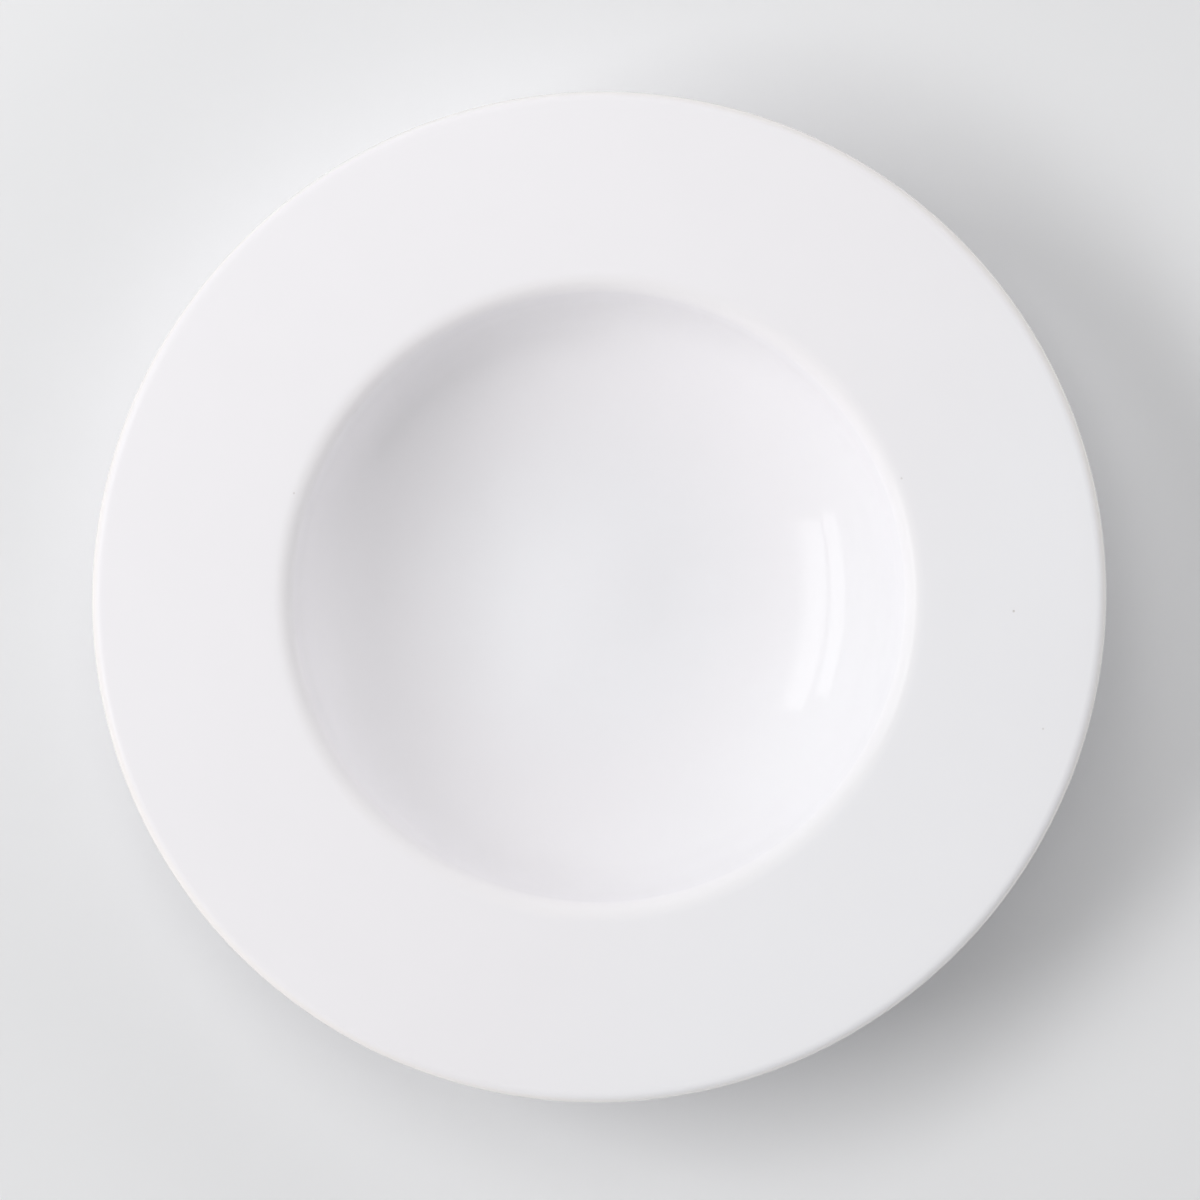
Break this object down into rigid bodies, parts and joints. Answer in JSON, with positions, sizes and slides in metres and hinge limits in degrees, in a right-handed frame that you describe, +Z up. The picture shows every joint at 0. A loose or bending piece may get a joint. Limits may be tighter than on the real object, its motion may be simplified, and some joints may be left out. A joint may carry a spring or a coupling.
{
  "type": "soup bowl",
  "caption": "Wide-rimmed round soup bowl of glazed white ceramic, with a deep curved well, a broad flat rim to hold and a bare foot ring to stand on.",
  "frame": {"origin": "on the table at the middle of the foot ring", "axes": "+Z up along the bowl's axis of revolution, +X to the right and +Y to the top of the picture"},
  "size_m": [0.28, 0.28, 0.05],
  "materials": {
    "fired_clay": "bare fired clay, fine-grained and matt, seen only on the foot ring",
    "white_glaze": "glossy cool white glaze with a faint ripple and a few pinholes"
  },
  "bodies": {
    "root": {"bowl_body": "fired_clay", "glaze_coat": "white_glaze", "recess_glaze": "white_glaze"}
  },
  "joints": []
}
